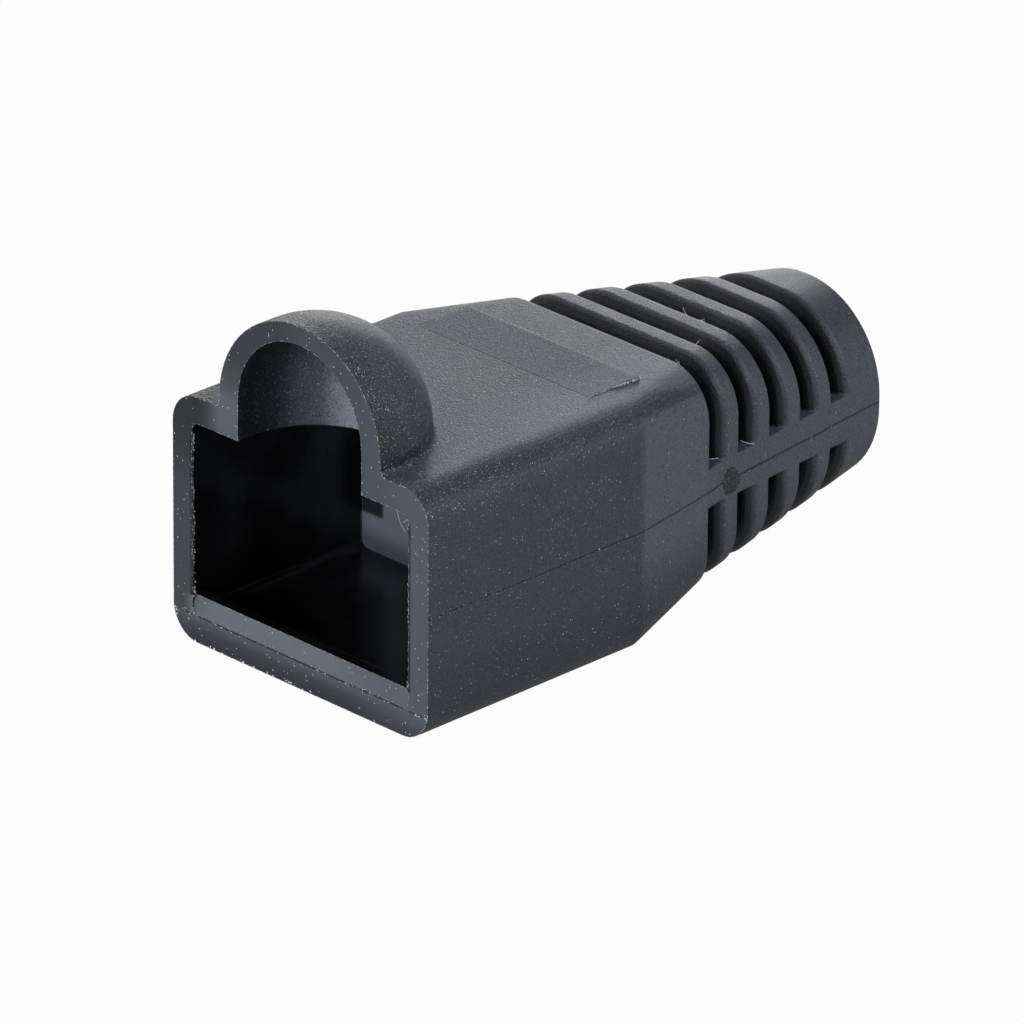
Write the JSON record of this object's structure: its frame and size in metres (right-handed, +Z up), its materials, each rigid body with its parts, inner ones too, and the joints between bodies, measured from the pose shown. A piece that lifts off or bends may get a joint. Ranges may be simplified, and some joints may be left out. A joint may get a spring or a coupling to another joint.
{
  "type": "strain relief boot",
  "caption": "Soft moulded strain relief boot for a modular network plug, with a plug pocket, a latch hood and a slotted, tapering tail round the cable.",
  "frame": {"origin": "middle of the footprint, level with the flat bottom of the box", "axes": "+Y along the sleeve from the plug opening to the cable end, +Z up to the latch hood, X across; the plug opening faces -Y"},
  "size_m": [0.014, 0.0276, 0.0151],
  "materials": {
    "soft_pvc": "matte, finely grained dark grey"
  },
  "bodies": {
    "root": {"boot": "soft_pvc"}
  },
  "joints": []
}
